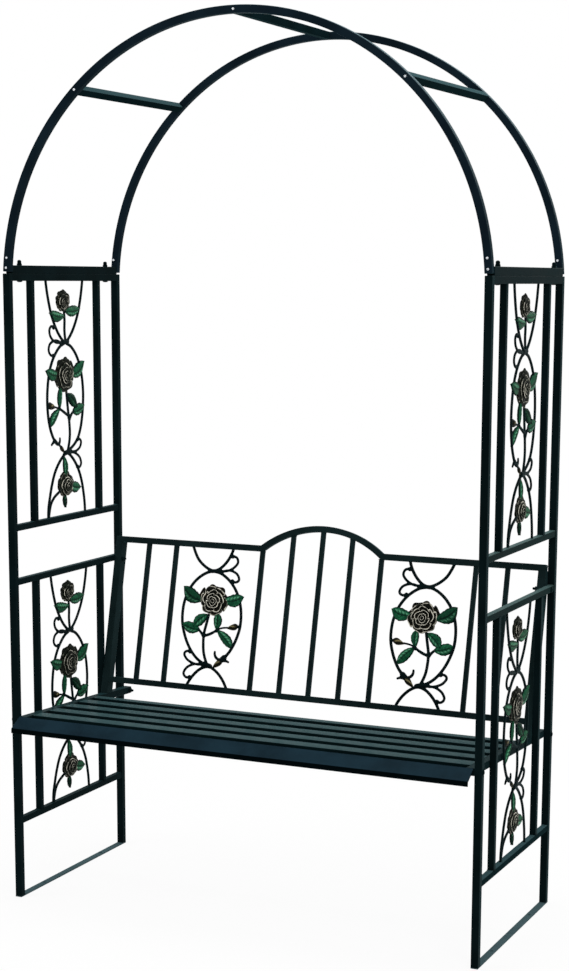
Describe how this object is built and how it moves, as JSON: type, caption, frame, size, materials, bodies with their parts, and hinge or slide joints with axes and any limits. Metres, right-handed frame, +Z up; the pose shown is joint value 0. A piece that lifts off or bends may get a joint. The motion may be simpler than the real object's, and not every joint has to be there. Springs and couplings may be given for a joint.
{
  "type": "rose arch with bench",
  "caption": "Free-standing garden arch of painted square tube, with rose ornaments in its side panels and a slatted bench with a leaning back between them.",
  "frame": {"origin": "on the ground, in the middle of the four anchor holes in the ground strips", "axes": "+Z up; +Y from the front of the bench to its back; +X to the right for someone who faces it"},
  "size_m": [1.1568, 0.5313, 1.996],
  "materials": {
    "frame": "satin",
    "scroll": "satin",
    "seat": "satin",
    "rose": "semi-gloss",
    "leaf": "semi-gloss",
    "zinc": "zinc plated"
  },
  "bodies": {
    "root": {"arch_base_bolts": "frame", "arch_screws": "zinc", "back_bars": "frame", "back_bottom_rail": "frame", "back_hoop": "frame", "back_left_leaves": "leaf", "back_left_roses": "rose", "back_left_scroll": "scroll", "back_left_upright": "frame", "back_right_leaves": "leaf", "back_right_roses": "rose", "back_right_scroll": "scroll", "back_right_upright": "frame", "back_top_rail": "frame", "bench_bolts": "frame", "bench_nuts": "frame", "front_hoop": "frame", "left_arch_base_rail": "frame", "left_back_post": "frame", "left_cross_bar": "frame", "left_front_post": "frame", "left_ground_strip": "frame", "left_lower_bars": "frame", "left_lower_leaves": "leaf", "left_lower_panel_head": "frame", "left_lower_panel_sill": "frame", "left_lower_roses": "rose", "left_lower_scroll": "scroll", "left_seat_rail": "frame", "left_top_rail": "frame", "left_upper_bars": "frame", "left_upper_leaves": "leaf", "left_upper_panel_sill": "frame", "left_upper_roses": "rose", "left_upper_scroll": "scroll", "right_arch_base_rail": "frame", "right_back_post": "frame", "right_cross_bar": "frame", "right_front_post": "frame", "right_ground_strip": "frame", "right_lower_bars": "frame", "right_lower_leaves": "leaf", "right_lower_panel_head": "frame", "right_lower_panel_sill": "frame", "right_lower_roses": "rose", "right_lower_scroll": "scroll", "right_seat_rail": "frame", "right_top_rail": "frame", "right_upper_bars": "frame", "right_upper_leaves": "leaf", "right_upper_panel_sill": "frame", "right_upper_roses": "rose", "right_upper_scroll": "scroll", "seat_apron": "seat", "seat_slat_1": "seat", "seat_slat_2": "seat", "seat_slat_3": "seat", "seat_slat_4": "seat", "seat_slat_5": "seat", "top_cross_bar": "frame"}
  },
  "joints": []
}
